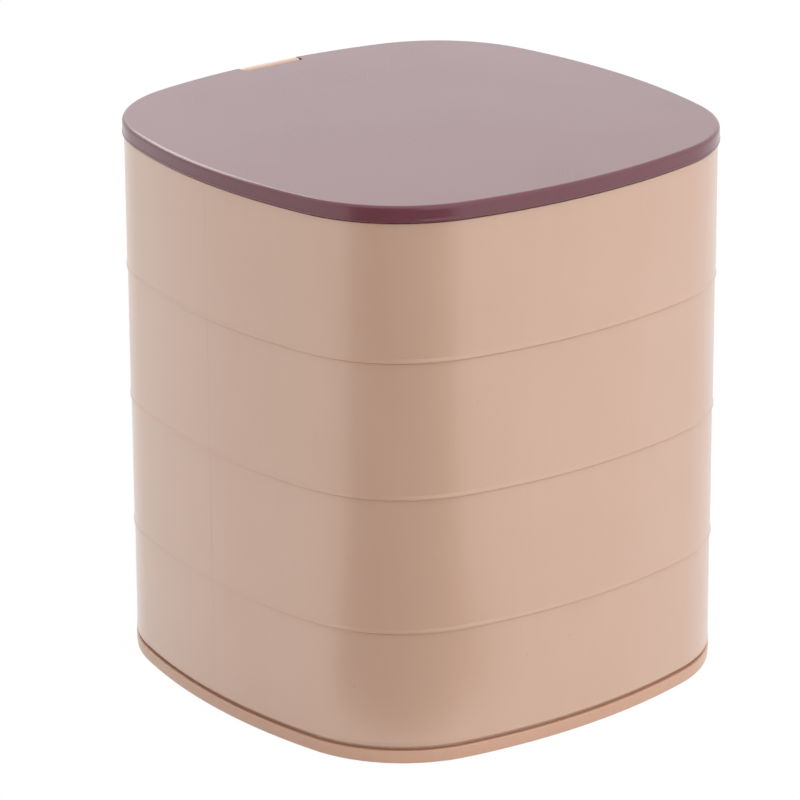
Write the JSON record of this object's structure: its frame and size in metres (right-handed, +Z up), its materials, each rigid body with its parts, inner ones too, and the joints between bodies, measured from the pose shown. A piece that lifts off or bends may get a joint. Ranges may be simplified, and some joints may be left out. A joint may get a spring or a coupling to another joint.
{
  "type": "rotating accessory box",
  "caption": "Rounded-square accessory box: stacked trays that swing out on a corner post, over a fixed base tray, with a hinged lid that holds a mirror.",
  "frame": {"origin": "middle of the box's plan outline, on the surface that the feet stand on", "axes": "+Z up, +Y towards the lid hinge, the post in the corner between +X and +Y; the camera of the picture looks from the front corner between -X and -Y"},
  "size_m": [0.1024, 0.1024, 0.1104],
  "materials": {
    "body_plastic": "satin moulded plastic, nude peach",
    "lid_plastic": "smooth satin-gloss plastic, mauve plum",
    "mirror_glass": "silvered flat glass",
    "bonding_tape": "foam bonding tape",
    "bright_steel": "turned steel, zinc plated",
    "spring_steel": "dark spring steel",
    "washer_plastic": "natural white nylon",
    "foot_rubber": "soft matte rubber"
  },
  "bodies": {
    "root": {"base_plate": "body_plastic", "foot_pads": "foot_rubber", "foot_screw": "bright_steel", "tray_bottom": "body_plastic", "pivot_post": "bright_steel", "spacer_bottom": "washer_plastic", "spring_washer": "spring_steel", "retaining_washer": "bright_steel", "retaining_screw": "bright_steel"},
    "tray_lower": {"tray_lower": "body_plastic", "spacer_lower": "washer_plastic"},
    "tray_upper": {"tray_upper": "body_plastic", "spacer_upper": "washer_plastic"},
    "tray_top": {"tray_top": "body_plastic", "pivot_cap": "body_plastic", "hinge_pin": "bright_steel"},
    "lid": {"lid_shell": "lid_plastic", "hinge_keeper": "lid_plastic", "mirror": "mirror_glass", "mirror_tape": "bonding_tape"}
  },
  "joints": [
    {"name": "tray_lower_turn", "type": "hinge", "parent": "root", "child": "tray_lower", "pos_m": [0.03396, 0.03396, 0.0405], "axis": [0, 0, 1], "continuous": true},
    {"name": "tray_upper_turn", "type": "hinge", "parent": "root", "child": "tray_upper", "pos_m": [0.03396, 0.03396, 0.0672], "axis": [0, 0, 1], "continuous": true},
    {"name": "tray_top_turn", "type": "hinge", "parent": "root", "child": "tray_top", "pos_m": [0.03396, 0.03396, 0.0939], "axis": [0, 0, 1], "continuous": true},
    {"name": "lid_hinge", "type": "hinge", "parent": "tray_top", "child": "lid", "pos_m": [0.001, 0.04965, 0.10895], "axis": [-1, 0, 0], "range_deg": [0, 100]}
  ]
}
